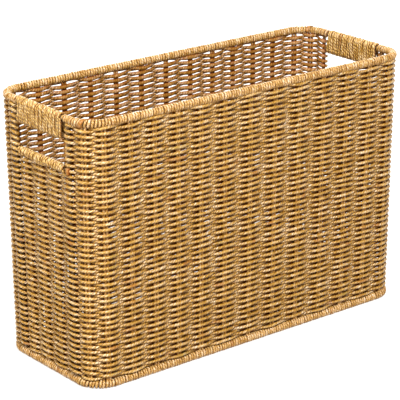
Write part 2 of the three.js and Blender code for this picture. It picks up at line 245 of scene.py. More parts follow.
@dataclass(frozen=True)
class LacqueredSteel:
    """Drawn steel wire dipped in brown lacquer: a satin film that pools a little unevenly."""

    name: str = "brown_lacquered_steel_wire"
    film: str = "#6B5130"
    thin_film: str = "#8A6A40"
    patch_size: float = 12.0
    pool_depth: float = 0.1
    pooling: float = 0.4
    roughness: Pair = (0.32, 0.5)
    refraction: float = 1.5

    def material(self) -> bpy.types.Material:
        """Builds the node material from object coordinates.

        Returns:
            The material.
        """
        material, tree = fresh_material(self.name)
        place = add_node(tree, "TexCoord", {})["Object"]
        patches = add_node(tree, "TexNoise", {
            "Vector": place, "Scale": 1 / (self.patch_size * MM), "Detail": 3.0})["Fac"]
        film = add_node(tree, "Mix", {"Factor": patches, "A": linear(self.film),
                                      "B": linear(self.thin_film)}, data_type="RGBA")["Result"]
        start, end = self.roughness
        roughness = add_node(tree, "MapRange", {
            "Value": patches, "To Min": start, "To Max": end})["Result"]
        pooled = add_node(tree, "Bump", {
            "Height": patches, "Strength": self.pooling, "Distance": self.pool_depth * MM})["Normal"]
        surface = add_node(tree, "BsdfPrincipled", {
            "Base Color": film, "Roughness": roughness, "IOR": self.refraction,
            "Normal": pooled})["BSDF"]
        add_node(tree, "OutputMaterial", {"Surface": surface})
        return material


@dataclass(frozen=True)
class WallPlan:
    """The wall's middle line: a rounded oblong that draws in a little towards the foot.

    The shares place the uprights on half of the way round: along a long side from its middle,
    along a quarter turn from its start, and along a short end from its middle to a post.
    """

    length: float = 400.0
    width: float = 150.0
    radius: float = 24.4
    end_draw_in: float = 2.6
    side_draw_in: float = 2.5
    rim_height: float = 267.116
    foot_height: float = 4.4
    bulge: float = 0.3
    bulge_fade: int = 8
    post_reach: float = 45.0
    long_shares: tuple[float, ...] = (
        -0.76, -0.62, -0.48, -0.34, -0.19, -0.03, 0.13, 0.29, 0.45, 0.61, 0.765)
    corner_shares: tuple[float, ...] = (0.17, 0.65)
    end_shares: tuple[float, ...] = (-1.0, -0.64, -0.1, 0.44, 1.0)

    @property
    def spans(self) -> Triple:
        """Lengths of a long side's and a short end's straight parts and of a quarter turn."""
        return self.length - 2 * self.radius, self.width - 2 * self.radius, QUARTER * self.radius

    @property
    def half(self) -> float:
        """Half of the way round; the other half is the same, turned half round."""
        front, end, corner = self.spans
        return front + end + 2 * corner

    @property
    def end_middle(self) -> float:
        """The run at the middle of the first short end."""
        front, end, corner = self.spans
        return front + corner + end / 2

    def stations(self) -> Array:
        """Places the 40 uprights.

        Returns:
            The run of each, from the front's first stake on.
        """
        front, _, corner = self.spans
        shares = np.array(self.corner_shares)
        first = np.concatenate([
            front / 2 + np.array(self.long_shares) * self.length / 2, front + shares * corner,
            self.end_middle + np.array(self.end_shares) * self.post_reach,
            self.half - shares[::-1] * corner])
        return np.concatenate([first, first + self.half])

    def line(self, run: Array) -> tuple[Array, Array]:
        """Places and outward directions seen from above.

        The corner's centre walks along an oblong, first along X and then along Y, while the
        outward direction turns through a quarter at each corner. A place is that centre plus
        the radius times the direction. The second half has both turned half round.

        Args:
            run: Ways along the line.

        Returns:
            The places and the outward directions, each with X and Y last.
        """
        turned = np.where(np.mod(run, 2 * self.half) >= self.half, -1.0, 1.0)[..., None]
        run = np.mod(run, self.half)
        front, end, corner = self.spans
        second = front + corner
        angle = (np.clip((run - front) / self.radius, 0, QUARTER)
                 + np.clip((run - second - end) / self.radius, 0, QUARTER))
        outward = np.stack([np.sin(angle), -np.cos(angle)], -1)
        centre = np.stack([np.clip(run, 0, front) - front / 2,
                           np.clip(run - second, 0, end) - end / 2], -1)
        return turned * (centre + self.radius * outward), turned * outward

    def share(self, height: Array) -> Array:
        """Share of the whole draw-in at a height: none at the rim, all of it at the foot."""
        return (self.rim_height - height) / (self.rim_height - self.foot_height)

    def end_distance(self, height: Array) -> Array:
        """How far out along X the wall's middle stands in a short end, at a height."""
        return self.length / 2 - self.end_draw_in * self.share(height)

    def point(self, run: Array, height: Array, outward: Array) -> Array:
        """Places in the drawn-in wall.

        X and Y of the line shrink in proportion to the share of the draw-in. The long sides
        swell by a sine of the share times a parabola of X, and that fades in the corners by a
        high power of the direction's Y. The outward distance is added.

        Args:
            run: Ways along the line.
            height: Heights of the places.
            outward: Their distances out of the wall's middle.

        Returns:
            The places, with X, Y and Z last.
        """
        place, direction = self.line(run)
        share = self.share(height)
        shrink = np.stack([1 - 2 * self.end_draw_in * share / self.length,
                           1 - 2 * self.side_draw_in * share / self.width], -1)
        swell = (self.bulge * np.sin(math.pi * np.clip(share, 0, 1))
                 * direction[..., 1] ** self.bulge_fade * (1 - (2 * place[..., 0] / self.length) ** 2))
        flat = place * shrink + direction * (outward + swell)[..., None]
        return np.concatenate([flat, height[..., None]], -1)

    def facing(self, run: Array) -> Array:
        """Outward directions with a level Z."""
        _, direction = self.line(run)
        return np.concatenate([direction, np.zeros_like(direction[..., :1])], -1)

    def round_wire(self, run: Array, height: float, radius: Array | float,
                   angle: Array) -> tuple[Array, Array]:
        """Goes round a level wire: out by the radius times the angle's cosine, up by its sine."""
        path = self.point(run, height + radius * np.sin(angle), radius * np.cos(angle))
        return path, self.facing(run) * np.cos(angle)[:, None] + UP * np.sin(angle)[:, None]


@dataclass(frozen=True)
class CordMake:
    """A cord's half sizes, the share by which it swells and shrinks, how much painted shade darkens
    its flanks, how clearly its plies show, and how finely it is modelled."""

    across: float = 1.40
    through: float = 1.35
    lumps: float = 0.08
    flanks: float = 0.15
    marks: float = 0.3
    sides: int = 8
    step: float = 1.3


@dataclass(frozen=True)
class Wear:
    """How any cord changes along itself, and where shade is painted on it.

    A stain has the value that it starts at, its growth from there and the most it comes to.
    """

    lump_spacing: float = 5.0
    twist_drift: Pair = (0.35, 10.0)
    twist_starts: int = 400
    tone: float = -0.29
    slow_tone: Pair = (0.09, 38.0)
    quick_tone: Pair = (0.2, 5.0)
    held_tone: float = 0.12
    even_ease: float = 0.6
    # Painted light on each cord's faces and painted shade on its flanks
    face_light_tone: float = 0.16
    stain_spacing: float = 22.0
    amber: Triple = (0.86, 7.0, 0.7)
    olive: Triple = (0.88, 6.0, 0.5)
    # Where the cord is held, its plies show more, in bumps and painted groove shade, and more painted
    # shade falls on its flanks
    held_marks: float = 0.42
    held_flanks: float = 0.3
    # Painted shade in the weave's recesses: where it starts outside the wall's middle, the depth it
    # grows over, and the share it is lighter by on faces into the basket
    recess_start: float = 0.2
    recess_depth: float = 2.0
    inner_relief: float = 0.6


def eased(part: Array) -> Array:
    """Three times the square less twice the cube of a part, which starts and ends level."""
    return part * part * (3 - 2 * part)


def unit(vectors: Array) -> Array:
    """Vectors taken to a length of one."""
    return vectors / np.linalg.norm(vectors, axis=1, keepdims=True)


def wander(seeds: np.random.Generator, along: Array, much: Pair, closed: bool = False) -> Array:
    """A smooth random course along a cord.

    Random values stand at even spacings, and between them the course follows the eased part of
    the way from one to the next.

    Args:
        seeds: The source of random values.
        along: The lengths along the cord that values are wanted for.
        much: The greatest random value, either way, and the distance between them.
        closed: Whether the cord joins its own start.

    Returns:
        The course's value at each of the lengths.
    """
    most, spacing = much
    whole = float(along[-1]) + 1e-6
    count = max(2, round(whole / spacing))
    values = seeds.uniform(-1, 1, count + 1)
    if closed:
        values[-1] = values[0]
    place = along / whole * count
    before = np.minimum(place.astype(int), count - 1)
    part = eased(place - before)
    return most * (values[before] * (1 - part) + values[before + 1] * part)


def follow(path: Array, facing: Array, closed: bool) -> tuple[Array, float, Array, Array]:
    """Measures a path and finds the two directions across a cord that follows it.

    The side direction is the cross product of the way ahead and the facing direction, and
    through is that of the side direction and the way ahead.

    Args:
        path: Places along the cord's middle.
        facing: Directions through the cord, one for each place.
        closed: Whether the cord joins its own start.

    Returns:
        The length along the path at each place, its whole length, and the directions to the
        side and through the cord.
    """
    if closed:
        ahead = np.roll(path, -1, 0) - np.roll(path, 1, 0)
        gaps = np.linalg.norm(np.roll(path, -1, 0) - path, axis=1)
    else:
        ahead = np.gradient(path, axis=0)
        gaps = np.linalg.norm(np.diff(path, axis=0), axis=1)
    along = np.concatenate([[0.0], np.cumsum(gaps)])[:len(path)]
    whole = float(gaps.sum()) if closed else float(along[-1])
    ahead = unit(ahead)
    side = unit(np.cross(ahead, facing))
    return along, whole, side, np.cross(side, ahead)


class CordPiece:
    """Gathers cords into one mesh, with a lengthways map and the cord's colour courses."""

    wear = Wear()

    def __init__(self, name: str) -> None:
        """Starts an empty piece.

        Args:
            name: The piece's name, which alone decides its random courses.
        """
        self.name = name
        self.seeds = np.random.default_rng(zlib.crc32(name.encode()))
        self.places: list[Array] = []
        self.faces: list[Array] = []
        self.maps: list[Array] = []
        self.courses: dict[str, list[Array]] = {course: [] for course in COURSES}
        self.count = 0

    def add(self, path: Array, facing: Array, make: CordMake, closed: bool = False,
            ease: Array | None = None, fuller: Array | None = None,
            wall: tuple[Array, Array] | None = None, dye: float = 0.0) -> None:
        """Carries an oval section along a path.

        A corner of the section lies off the path by the half size through the cord times the
        cosine of its angle and the half size across times the sine, and both swell and shrink a
        little along the cord. The tone is a slow and a quick random course, paler where the
        cord is held than where it floats. Painted light makes it paler on the faces than on the
        flanks by the cosine's square, and painted shade darkens the flanks and the weave's recesses.

        Args:
            path: Places along the cord's middle.
            facing: Directions through the cord, one for each place.
            make: The cord's sizes and wear.
            closed: Whether the cord joins its own start.
            ease: How far the cord floats at each place, from 0 where it is held to 1.
            fuller: How many times as wide across it is at each place.
            wall: The wall's middle beside each place, and the directions out of the wall there.
            dye: How amber the cord is all along.
        """
        wear, seeds, sides = self.wear, self.seeds, make.sides
        along, whole, side, through = follow(path, facing, closed)
        angle = math.pi + TURN * np.arange(sides) / sides
        size = 1 + wander(seeds, along, (make.lumps, wear.lump_spacing), closed)
        wide = size if fuller is None else size * fuller
        places = (path[:, None, :]
                  + (make.through * size[:, None] * np.cos(angle))[..., None] * through[:, None, :]
                  + (make.across * wide[:, None] * np.sin(angle))[..., None] * side[:, None, :])
        self.places.append(places.reshape(-1, 3))
        self.add_faces(along, whole, sides, closed)
        tone = wear.tone + wander(seeds, along, wear.slow_tone, closed)
        tone += wander(seeds, along, wear.quick_tone, closed)
        if ease is not None:
            tone += wear.held_tone * (wear.even_ease - ease)
        # Painted light: paler faces and darker flanks, as light falls on a round cord
        face_light = wear.face_light_tone * (np.cos(angle) ** 2 - 0.5)
        odd = wander(seeds, along, (1.0, wear.stain_spacing), closed)
        amber, olive = (np.clip((course - start) * growth, 0, most) for course, (start, growth, most)
                        in ((odd, wear.amber), (-odd, wear.olive)))
        held = np.zeros(len(path)) if ease is None else 1 - ease
        # Painted shade on each cord's flanks, more where it is held among the others
        deep = (make.flanks + wear.held_flanks * held)[:, None] * np.sin(angle) ** 4
        # Painted shade in the weave's recesses
        if wall is not None:
            deep = np.maximum(deep, self.painted_recess_shade(places, path, make, wall))
        for course, values in zip(COURSES, (
                tone[:, None] + face_light[None, :], np.repeat(amber - olive + dye, sides),
                np.repeat(make.marks + wear.held_marks * held, sides), deep)):
            self.courses[course].append(values.ravel())
        self.count += len(path) * sides

    def painted_recess_shade(self, places: Array, path: Array, make: CordMake, wall: tuple[Array, Array]) -> Array:
        """How far each corner lies in the weave's recesses, which sets the shade painted on it.

        Args:
            places: The corners of the cord's sections.
            path: Places along its middle.
            make: The cord's sizes.
            wall: The wall's middle beside each place, and the directions out of the wall there.

        Returns:
            The eased share of a corner's way in, from just outside the wall's middle on, and
            less where the corner faces into the basket.
        """
        middle, outward = wall
        proud = ((places - middle[:, None, :]) * outward[:, None, :]).sum(-1)
        inward = -((places - path[:, None, :]) * outward[:, None, :]).sum(-1) / make.through
        way = eased(np.clip((self.wear.recess_start - proud) / self.wear.recess_depth, 0, 1))
        return way * (1 - self.wear.inner_relief * np.clip(inward, 0, 1))

    def add_faces(self, along: Array, whole: float, sides: int, closed: bool) -> None:
        """Adds the faces between a cord's sections, and their map.

        The map goes once round the cord, and once along it for each turn of the lay. The lay
        is fitted to the cord in whole turns, drifts a little and starts at a random turn. Only
        a cord that doesn't join its own start has caps.

        Args:
            along: The length along the cord at each section.
            whole: The cord's whole length.
            sides: How many corners a section has.
            closed: Whether the cord joins its own start.
        """
        rows = len(along)
        row, column, _ = np.ogrid[:rows if closed else rows - 1, :sides, :1]
        row, column = row + [0, 0, 1, 1], column + [0, 1, 1, 0]
        turns = max(1, round(whole / LAY))
        lay = along / whole * turns + wander(self.seeds, along, self.wear.twist_drift, closed)
        lay = lay + self.seeds.integers(0, self.wear.twist_starts)
        lay = np.append(lay, lay[0] + turns)
        self.faces.append((row % rows * sides + column % sides + self.count).reshape(-1, 4))
        self.maps.append(np.stack(np.broadcast_arrays(lay[row], column / sides), -1).reshape(-1, 2))
        if not closed:
            last = (rows - 1) * sides
            for ring in (np.arange(sides)[::-1], last + np.arange(sides)):
                self.faces.append(ring[None, :] + self.count)
                self.maps.append(np.stack([np.full(sides, lay[ring[0] // sides]),
                                           np.arange(sides) / sides], -1))

    def finish(self, material: bpy.types.Material, nodes: list[str]) -> bpy.types.Object:
        """Turns the cords into a mesh object that stands for CAD nodes.

        Args:
            material: The cord's material.
            nodes: The names of the nodes that it replaces.

        Returns:
            The object.
        """
        corners = np.concatenate([faces.ravel() for faces in self.faces])
        sizes = np.concatenate([np.full(len(faces), faces.shape[1], np.int32) for faces in self.faces])
        mesh = bpy.data.meshes.new(self.name)
        mesh.vertices.add(self.count)
        mesh.loops.add(len(corners))
        mesh.polygons.add(len(sizes))
        places = (np.concatenate(self.places) * MM).astype(np.float32)
        mesh.vertices.foreach_set("co", places.ravel())
        mesh.loops.foreach_set("vertex_index", corners.astype(np.int32))
        mesh.polygons.foreach_set("loop_start", np.cumsum(sizes, dtype=np.int32) - sizes)
        mesh.polygons.foreach_set("loop_total", sizes)
        mesh.polygons.foreach_set("use_smooth", sizes == 4)
        mesh.update(calc_edges=True)
        layer = mesh.uv_layers.new(name="Cord")
        layer.data.foreach_set("uv", np.concatenate(self.maps).astype(np.float32).ravel())
        for name, parts in self.courses.items():
            course = mesh.attributes.new(name, "FLOAT", "POINT")
            course.data.foreach_set("value", np.concatenate(parts).astype(np.float32))
        mesh.validate()
        mesh.materials.append(material)
        made = bpy.data.objects.new(self.name, mesh)
        bpy.context.scene.collection.objects.link(made)
        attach(made, "root")
        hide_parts(*nodes)
        LOG.info("%s: %d triangles", self.name, int((sizes - 2).sum()))
        return made


@dataclass(frozen=True)
class WovenWall:
    """The wall's weft: one cord over one upright and under the next, row on row."""

    plan: WallPlan
    cord: PaperCord
    make: CordMake = CordMake(across=1.52, through=1.32)
    first_row: float = 10.9
    pitch: float = 2.768
    ring_rows: int = 74
    open_rows: int = 18
    rows_in_piece: int = 15
    reach: float = 2.5
    post_reach: float = 3.3
    post_places: tuple[int, ...] = (13, 17, 33, 37)
    stiffness: float = 0.8
    arch: float = 2.4
    sway: float = 0.27
    # Half the size of a row's own waves: everywhere, and more in the topmost and lowest rows
    own_wave: float = 0.10
    top_wave: float = 0.22
    foot_wave: float = 0.10
    wave_counts: tuple[int, ...] = (17, 29, 43)
    loose_band: float = 6.0
    inner_drop: float = 1.15
    inner_fullness: float = 0.52
    nip: float = 0.08
    # How finely the weft is worked out beside the hand openings, before it is split evenly
    leg_places: int = 400
    bend_parts: int = 8

    def weave(self, run: Array, row: int) -> tuple[Array, Array]:
        """The weft's distance from the wall's middle, and how freely it floats.

        A stiff cord lies flat over each upright and passes through the wall midway between
        two. So the distance is the hyperbolic tangent of the stiffness times the cosine of half
        a turn. Its side changes from upright to upright and from row to row.

        Args:
            run: Ways along the line.
            row: The row's number.

        Returns:
            The distances, and 1 at an upright falling to 0 midway between two.
        """
        stations = self.plan.stations()
        whole = 2 * self.plan.half
        reach = np.full(len(stations), self.reach)
        reach[list(self.post_places)] = self.post_reach
        marks = np.concatenate([stations - whole, stations, stations + whole])
        before = np.searchsorted(marks, run, side="right") - 1
        part = (run - marks[before]) / (marks[before + 1] - marks[before])
        wave = np.cos(math.pi * part)
        sign = np.where((before + row) % 2 == 0, 1.0, -1.0)
        size = np.interp(run, marks, np.tile(reach, 3))
        bent = np.tanh(self.stiffness * wave) / math.tanh(self.stiffness)
        return sign * size * bent, np.abs(wave)

    def height(self, run: Array, outward: Array, row: int, seeds: np.random.Generator) -> Array:
        """The weft's height: its row, plus slow waves that neighbouring rows share.

        The slow waves are sines that go 3, 7 and 13 times round the basket, and their phases
        and sizes drift as the rows climb, fading at the top and the foot. Each row adds small
        sines of its own, which start anywhere. The long sides' rows arch up a little, by a sine
        of the row's share of the wall times a parabola of X. The floats inside the basket sit
        lower than those outside, by the power one and a half of their distance in.

        Args:
            run: Ways along the line.
            outward: The weft's distances from the wall's middle.
            row: The row's number.
            seeds: The source of random values.

        Returns:
            The heights.
        """
        level = self.first_row + self.pitch * row
        last = self.first_row + self.pitch * (self.ring_rows + self.open_rows - 1)
        turn = TURN * run / (2 * self.plan.half)
        slow = (np.sin(3 * turn + level / 33) * math.sin(level / 21 + 1.0)
                + np.sin(7 * turn - level / 27 + 2.0) * math.cos(level / 17)
                + 0.6 * np.sin(13 * turn + level / 19 + 4.0))
        hold = max(0.0, math.sin(math.pi * (level - self.first_row) / (last - self.first_row)))
        own = sum(np.sin(count * turn + seeds.uniform(0, TURN)) for count in self.wave_counts)
        near_top = max(0.0, 1 - (last - level) / self.loose_band)
        near_foot = max(0.0, 1 - (level - self.first_row) / self.loose_band)
        loose = self.own_wave + self.top_wave * near_top + self.foot_wave * near_foot
        place, _ = self.plan.line(run)
        arch = self.arch * hold * (1 - (2 * place[..., 0] / self.plan.length) ** 2)
        nest = -self.inner_drop * np.clip(-outward / self.reach, 0, 1) ** 1.5
        return level + nest + arch + self.sway * hold ** 0.5 * slow + loose * own

    def add_weft(self, piece: CordPiece, run: Array, height: Array, outward: Array, free: Array,
                 closed: bool) -> None:
        """Adds a cord that is nipped in midway between uprights and fuller inside the basket.

        Args:
            piece: The piece to add to.
            run: Ways along the line.
            height: Heights of the places.
            outward: Their distances out; the cord is fuller in proportion to its distance in.
            free: How freely it floats there; it is narrower by a share of how little.
            closed: Whether it goes all the way round, and so faces straight out everywhere.
        """
        path = self.plan.point(run, height, outward)
        out = self.plan.facing(run)
        facing = out if closed else unit(np.cross(np.gradient(path, axis=0), UP))
        inside = np.clip(-outward / self.reach, 0, 1)
        fuller = 1 - self.nip * (1 - free) + self.inner_fullness * inside
        wall = self.plan.point(run, height, np.zeros_like(run)), out
        piece.add(path, facing, self.make, closed, free, fuller, wall)

    def add_open_rows(self, piece: CordPiece, first: int, left_post: float, right_post: float) -> None:
        """Adds the rows beside the hand openings, as one cord that turns back round the posts.

        Between the posts the weft goes as in a whole row. At a post it goes on in half a
        circle about the post, from the side it came on to the other, and climbs by one row.
        The whole way is then split evenly by its length, in proportion between those points.

        Args:
            piece: The piece to add to.
            first: The lowest row's number.
            left_post: The run of the post where the lowest row starts.
            right_post: The run of the other post.
        """
        legs: list[Array] = []
        run = np.linspace(left_post, right_post, self.leg_places)
        for number in range(self.open_rows):
            outward, free = self.weave(run, first + number)
            height = self.height(run, outward, first + number, piece.seeds)
            leg = np.stack([run, height, outward, free], -1)
            legs.append(leg if number % 2 == 0 else leg[::-1])
        angle = math.pi * np.arange(1, self.bend_parts) / self.bend_parts
        for number in range(self.open_rows - 1, 0, -1):
            here, there = legs[number - 1][-1], legs[number][0]
            away = 1.0 if number % 2 else -1.0
            bend = np.stack([here[0] + away * self.post_reach * np.sin(angle),
                             here[1] + (there[1] - here[1]) * angle / math.pi,
                             here[2] * np.cos(angle), np.ones_like(angle)], -1)
            legs.insert(number, bend)
        points = np.concatenate(legs)
        gaps = np.linalg.norm(np.diff(points, axis=0), axis=1)
        along = np.concatenate([[0.0], np.cumsum(gaps)])
        even = np.linspace(0, along[-1], round(along[-1] / self.make.step) + 1)
        self.add_weft(piece, *(np.interp(even, along, course) for course in points.T), False)

    def build(self) -> None:
        """Builds the weft in bands of rows, so that no mesh grows too large."""
        material = self.cord.material()
        whole = 2 * self.plan.half
        count = round(whole / self.make.step)
        run = whole * np.arange(count) / count
        nodes = ["front_weave", "back_weave", "left_weave", "right_weave"]
        for band, low in enumerate(range(0, self.ring_rows, self.rows_in_piece)):
            piece = CordPiece(f"weft_band_{band + 1}")
            for row in range(low, min(low + self.rows_in_piece, self.ring_rows)):
                outward, free = self.weave(run, row)
                height = self.height(run, outward, row, piece.seeds)
                self.add_weft(piece, run, height, outward, free, True)
            piece.finish(material, nodes)
        right_front, right_back, left_back, left_front = self.plan.stations()[list(self.post_places)]
        for name, left, right in (("front", left_front - whole, right_front),
                                  ("back", right_back, left_back)):
            piece = CordPiece(f"{name}_upper_weft")
            self.add_open_rows(piece, self.ring_rows, float(left), float(right))
            piece.finish(material, nodes)


@dataclass(frozen=True)
class Stakes:
    """The uprights: two strands of cord side by side, held between the weft's rows."""

    plan: WallPlan
    cord: PaperCord
    make: CordMake = CordMake(across=1.46, through=1.50, sides=6, step=2.0)
    foot: float = 6.7
    top: float = 264.8
    sill_top: float = 212.4
    spread: float = 1.5
    most_dye: float = 0.4
    drift: Pair = (0.25, 30.0)
    sidle: Pair = (0.15, 24.0)

    def add_pair(self, piece: CordPiece, run: float, top: float) -> None:
        """Adds the two strands of one upright, which wander a little from a straight line.

        Args:
            piece: The piece to add to.
            run: The upright's way along the line.
            top: The height where they end.
        """
        height = np.linspace(self.foot, top, round((top - self.foot) / self.make.step))
        dye = float(piece.seeds.uniform(0, self.most_dye))
        for toward in (-1.0, 1.0):
            runs = run + toward * self.spread + wander(piece.seeds, height, self.drift)
            sidle = wander(piece.seeds, height, self.sidle)
            facing = self.plan.facing(np.full_like(height, run))
            wall = self.plan.point(runs, height, np.zeros_like(height)), facing
            piece.add(self.plan.point(runs, height, sidle), facing, self.make, wall=wall, dye=dye)

    def build(self) -> None:
        """Builds the stakes of each side and end as a piece of its own."""
        material = self.cord.material()
        stations = self.plan.stations()
        for name, places in (("front", [38, 39, *range(13)]), ("right", [14, 15, 16]),
                             ("back", [*range(18, 33)]), ("left", [34, 35, 36])):
            is_long = name in ("front", "back")
            piece = CordPiece(f"{name}_stakes")
            for place in places:
                self.add_pair(piece, float(stations[place]), self.top if is_long else self.sill_top)
            nodes = [f"{name}_stake_{i + 1}" for i in range(11 if is_long else 3)]
            if is_long:
                nodes += [f"{name}_corner_stake_{i + 1}" for i in range(4)]
            piece.finish(material, nodes)


@dataclass(frozen=True)
class WoundRing:
    """Cord wound close round a level wire of the frame: the rim's two lengths or the foot."""

    plan: WallPlan
    make: CordMake
    height: float
    turn_radius: float
    pitch: float = 3.05
    slack: Pair = (0.18, 12.0)
    sidle: Pair = (0.4, 13.0)

    def add(self, piece: CordPiece, start: float, end: float, closed: bool) -> None:
        """Winds the cord once round the wire for each pitch, in a radius that wanders a little.

        Args:
            piece: The piece to add to.
            start: The way along the line where the winding starts.
            end: Where it ends.
            closed: Whether it joins its own start.
        """
        turns = round((end - start) / self.pitch)
        count = turns * round(TURN * self.turn_radius / self.make.step)
        share = np.arange(count if closed else count + 1) / count
        along = share * turns * TURN * self.turn_radius
        radius = self.turn_radius + wander(piece.seeds, along, self.slack, closed)
        run = start + (end - start) * share + wander(piece.seeds, along, self.sidle, closed)
        path, facing = self.plan.round_wire(run, self.height, radius, TURN * turns * share)
        piece.add(path, facing, self.make, closed)


@dataclass(frozen=True)
class RimAndFoot:
    """The two wound lengths of the rim, from grip to grip, and the wound foot."""

    plan: WallPlan
    cord: PaperCord
    rim_make: CordMake = CordMake(across=1.42, through=1.10, flanks=0.8, step=1.45)
    rim_radius: float = 3.1
    foot_make: CordMake = CordMake(across=1.42, through=1.20, flanks=0.75, step=1.5)
    foot_radius: float = 3.2
    grip_reach: float = 38.9
    floor_gap: float = 0.05
    # The tie turn crosses the rim at its middle angle, and slants along it by this much a radian
    tie_make: CordMake = CordMake(across=2.2, through=0.6, flanks=0.5, step=1.2)
    tie_run: float = -25.0
    tie_radius: float = 4.3
    tie_angles: Triple = (-1.1, 1.0, 3.4)
    tie_slant: float = 1.6
    tie_places: int = 18
    tie_dye: float = 0.8

    def add_tie(self, piece: CordPiece, run: float) -> None:
        """Adds the broad amber turn that ties the winding's end down near a corner.

        It goes most of the way round the rim in a circle and slants along it evenly.

        Args:
            piece: The piece to add to.
            run: The turn's way along the line.
        """
        start, middle, end = self.tie_angles
        angle = np.linspace(start, end, self.tie_places)
        runs = run + self.tie_slant * (angle - middle)
        path, facing = self.plan.round_wire(runs, self.plan.rim_height, self.tie_radius, angle)
        piece.add(path, facing, self.tie_make, dye=self.tie_dye)

    def build(self) -> None:
        """Builds the rim's lengths and the foot, which the floor presses flat below."""
        plan = self.plan
        material = self.cord.material()
        rim = WoundRing(plan, self.rim_make, plan.rim_height, self.rim_radius)
        for name, offset in (("front", 0.0), ("back", plan.half)):
            piece = CordPiece(f"{name}_rim_winding")
            rim.add(piece, plan.end_middle - plan.half + self.grip_reach + offset,
                    plan.end_middle - self.grip_reach + offset, False)
            self.add_tie(piece, self.tie_run + offset)
            piece.finish(material, [f"{name}_rim_wrap"])
        foot = WoundRing(plan, self.foot_make, plan.foot_height, self.foot_radius)
        piece = CordPiece("foot_winding")
        foot.add(piece, 0.0, 2 * plan.half, True)
        for places in piece.places:
            places[:, 2] = np.maximum(places[:, 2], self.floor_gap)
        piece.finish(material, ["foot_wrap"])


@dataclass(frozen=True)
class Handle:
    """The wound band of a grip, round the rim wire and the grip bar, and the wound sill below it."""

    plan: WallPlan
    cord: PaperCord
    end: End
    make: CordMake = CordMake(across=1.42, through=1.20, lumps=0.2, flanks=0.8, marks=0.6)
    pitch: float = 3.07
    slack: Pair = (0.2, 11.0)
    sidle: Pair = (0.8, 10.0)
    grip_drop: float = 16.8
    grip_radius: float = 3.6
    grip_reach: float = 38.2
    sill_height: float = 217.089
    sill_radius: float = 3.25
    sill_reach: float = 39.4
    stub_make: CordMake = CordMake(across=2.3, through=2.4, flanks=0.9, marks=0.1, step=1.0)
    stub_place: Pair = (3.7, 46.5)
    stub_heights: Pair = (214.5, 221.0)
    stub_places: int = 7
    stub_dye: float = 0.8

    def wind(self, piece: CordPiece, top: float, drop: float, radius: float, reach: float) -> None:
        """Winds a cord round one level bar, or round two of them one above the other.

        Seen along the bars the cord goes over the upper bar in half a circle, straight down by
        the drop, under the lower bar in half a circle and straight up again. It moves along
        the bars by one pitch for each loop, wandering a little on its way.

        Args:
            piece: The piece to add to.
            top: The upper bar's height.
            drop: The way from the upper bar down to the lower.
            radius: The radius of the half circles.
            reach: How far it goes from the middle, either way.
        """
        loop = TURN * radius + 2 * drop
        travel = 2 * reach - 2 * self.make.across
        turns = round(travel / self.pitch)
        along = np.linspace(0, loop * turns, round(loop * turns / self.make.step) + 1)
        part = np.mod(along, loop)
        bend = math.pi * radius
        angle = np.clip(part / radius, 0, math.pi) + np.clip((part - bend - drop) / radius, 0, math.pi)
        lowered = np.clip(part - bend, 0, drop) - np.clip(part - 2 * bend - drop, 0, drop)
        slack = radius + wander(piece.seeds, along, self.slack)
        across = travel * (along / along[-1] - 0.5) + wander(piece.seeds, along, self.sidle)
        wall = self.plan.end_distance(top - lowered)
        toward = self.end.value
        path = np.stack([toward * (wall + slack * np.cos(angle)), toward * across,
                         top - lowered + slack * np.sin(angle)], -1)
        facing = np.stack([toward * np.cos(angle), np.zeros_like(angle), np.sin(angle)], -1)
        piece.add(path, facing, self.make)

    def add_stub(self, piece: CordPiece) -> None:
        """Adds the cut end of the sill's cord, a short upright amber stub outside the weft.

        Args:
            piece: The piece to add to.
        """
        height = np.linspace(*self.stub_heights, self.stub_places)
        outward, across = self.stub_place
        toward = self.end.value
        path = np.stack([toward * (self.plan.end_distance(height) + outward),
                         np.full_like(height, toward * across), height], -1)
        facing = np.broadcast_to(np.array([toward, 0.0, 0.0]), path.shape)
        piece.add(path, facing, self.stub_make, dye=self.stub_dye)

    def build(self) -> None:
        """Builds the grip's band and the sill."""
        name = self.end.name.lower()
        material = self.cord.material()
        band = CordPiece(f"{name}_grip_band")
        self.wind(band, self.plan.rim_height, self.grip_drop, self.grip_radius, self.grip_reach)
        band.finish(material, [f"{name}_grip_winding"])
        sill = CordPiece(f"{name}_sill_cord")
        self.wind(sill, self.sill_height, 0.0, self.sill_radius, self.sill_reach)
        self.add_stub(sill)
        sill.finish(material, [f"{name}_sill_winding"])


